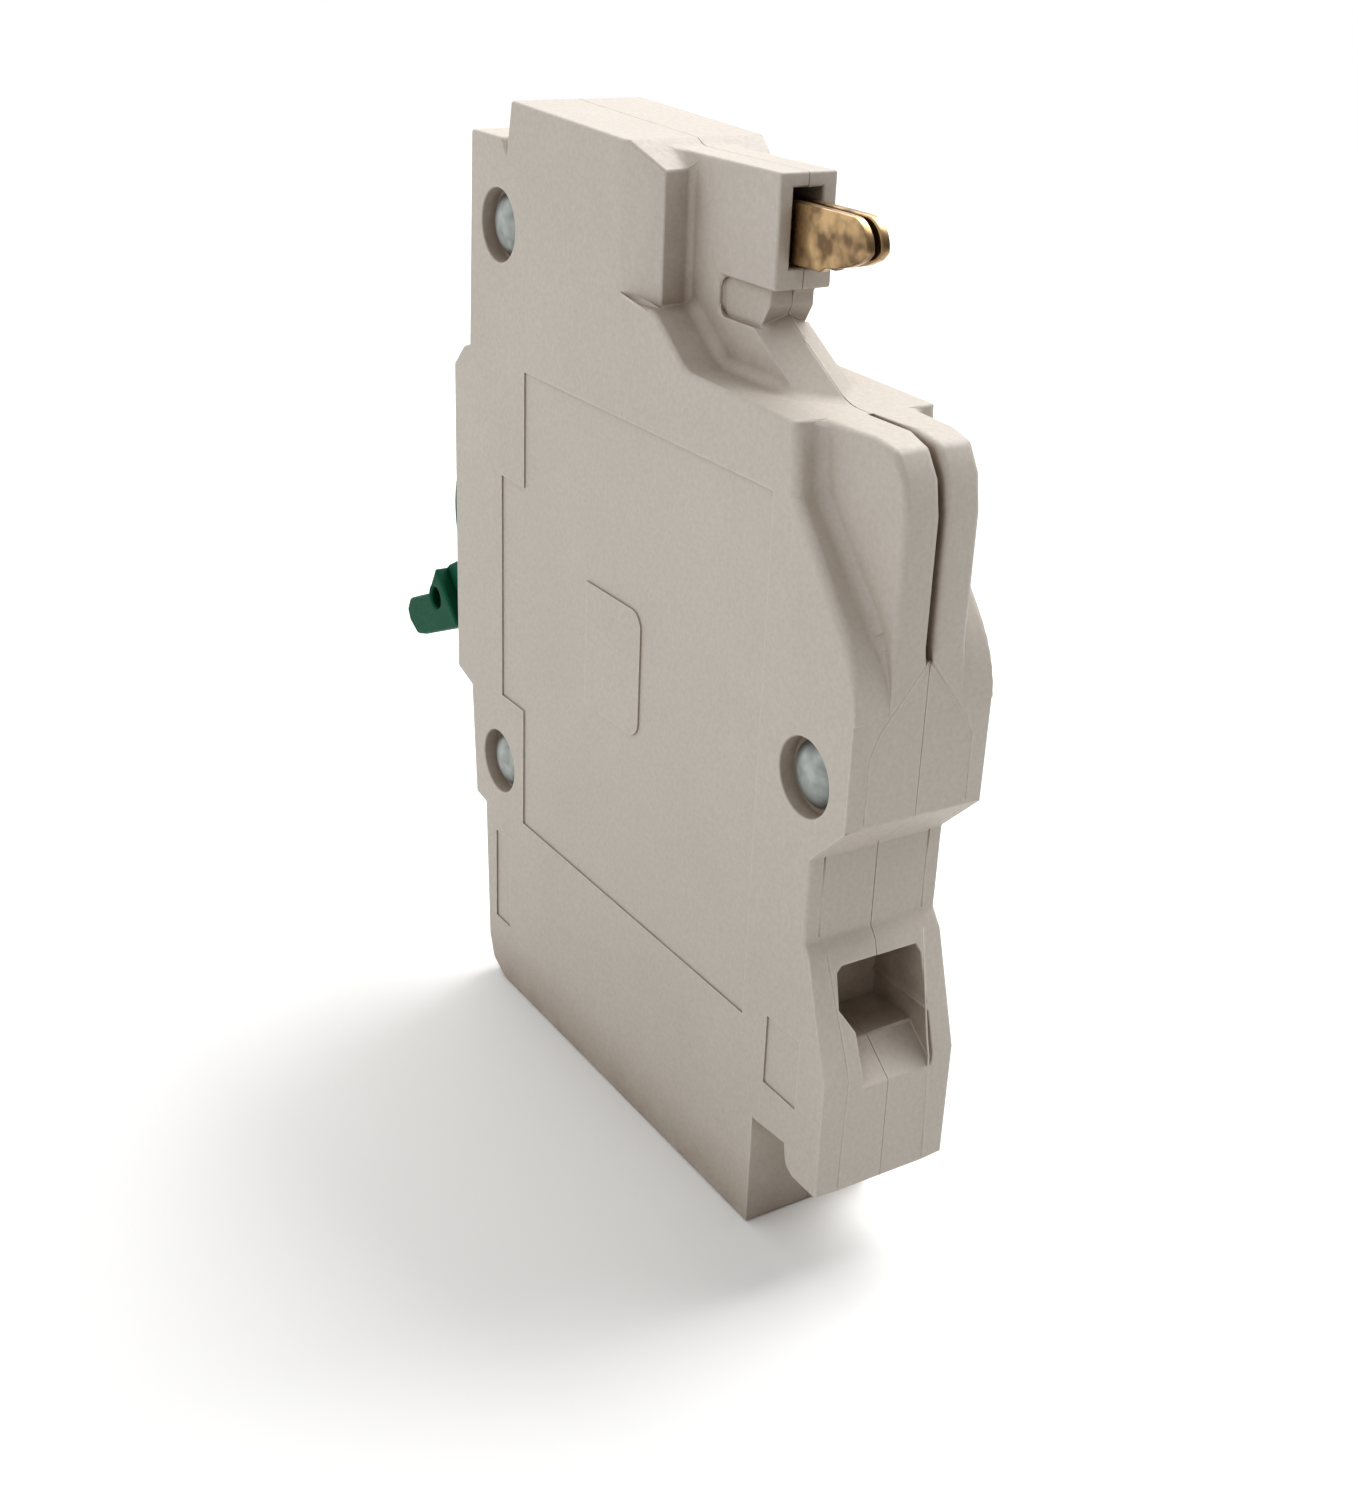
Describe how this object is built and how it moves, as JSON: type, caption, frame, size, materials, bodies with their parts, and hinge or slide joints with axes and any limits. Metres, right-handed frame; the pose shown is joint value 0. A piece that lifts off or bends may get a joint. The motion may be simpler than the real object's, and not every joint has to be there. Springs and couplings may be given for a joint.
{
  "type": "plug-on circuit breaker",
  "caption": "Half-inch single-pole plug-on circuit breaker: riveted two-part case, green toggle, brass stab, rail notch and load terminal.",
  "frame": {"origin": "middle of the case's depth on the parting plane, on the load end that it stands on", "axes": "+Z from the load end to the line end, +X from the handle side to the stab side, +Y to the right broad face"},
  "size_m": [0.0824, 0.0126, 0.0848],
  "materials": {
    "case_plastic": "warm greige moulding compound, fine speckle",
    "toggle_green": "satin dark green moulding",
    "rivet_zinc": "zinc plated, dull",
    "stab_brass": "tarnished brass",
    "copper": "plain copper",
    "contact_silver": "silver alloy",
    "spring_steel": "bright steel",
    "mild_steel": "dull steel",
    "bimetal_strip": "rolled bimetal",
    "red_fibre": "vulcanised fibre"
  },
  "bodies": {
    "case": {"case_left": "case_plastic", "case_right": "case_plastic", "case_rivets": "rivet_zinc", "handle_pin": "spring_steel", "fixed_contact": "contact_silver", "line_stab": "stab_brass", "line_strap": "copper", "arc_plates": "mild_steel", "arc_liners": "red_fibre", "cradle_pin": "spring_steel", "bimetal": "bimetal_strip", "magnet_yoke": "mild_steel", "armature_pin": "spring_steel", "armature_spring": "spring_steel", "load_strap": "copper", "calibration_screw": "spring_steel"},
    "toggle": {"handle": "toggle_green", "arm_pin": "spring_steel"},
    "blade": {"contact_arm": "copper", "moving_contact": "contact_silver", "braid": "copper"},
    "trip_lever": {"cradle": "mild_steel", "toggle_spring": "spring_steel"},
    "latch": {"armature": "mild_steel"},
    "clamp": {"clamp_plate": "rivet_zinc"},
    "screw": {"terminal_screw": "rivet_zinc"}
  },
  "joints": [
    {"name": "handle_toggle", "type": "hinge", "parent": "case", "child": "toggle", "pos_m": [-0.0289, 0, 0.0446], "axis": [0, 1, 0], "range_deg": [0, 72], "deforming": ["toggle_spring", "braid"]},
    {"name": "blade_swing", "type": "hinge", "parent": "toggle", "child": "blade", "pos_m": [-0.02283, 0, 0.04901], "axis": [0, 1, 0], "range_deg": [-101, 0]},
    {"name": "latch_release", "type": "hinge", "parent": "case", "child": "latch", "pos_m": [0.0055, 0, 0.022], "axis": [0, 1, 0], "range_deg": [0, 12], "stiffness_Nm_per_rad": 0.004, "springref_deg": -17.19, "deforming": ["armature_spring"]},
    {"name": "trip", "type": "hinge", "parent": "case", "child": "trip_lever", "pos_m": [-0.0124, 0, 0.034], "axis": [0, 1, 0], "range_deg": [0, 19.2]},
    {"name": "clamp_travel", "type": "slide", "parent": "case", "child": "clamp", "axis": [1, 0, 0], "range_m": [0, 0.004]},
    {"name": "screw_turn", "type": "hinge", "parent": "clamp", "child": "screw", "pos_m": [-0.0174, 0, 0.011], "axis": [1, 0, 0], "range_deg": [0, 1440]}
  ],
  "couplings": [
    {"joint": "blade_swing", "follows": "handle_toggle", "ratio": -1.4028},
    {"joint": "trip", "follows": "latch_release", "ratio": 1.6},
    {"joint": "screw_turn", "follows": "clamp_travel", "rad_per_m": 6283.2}
  ]
}
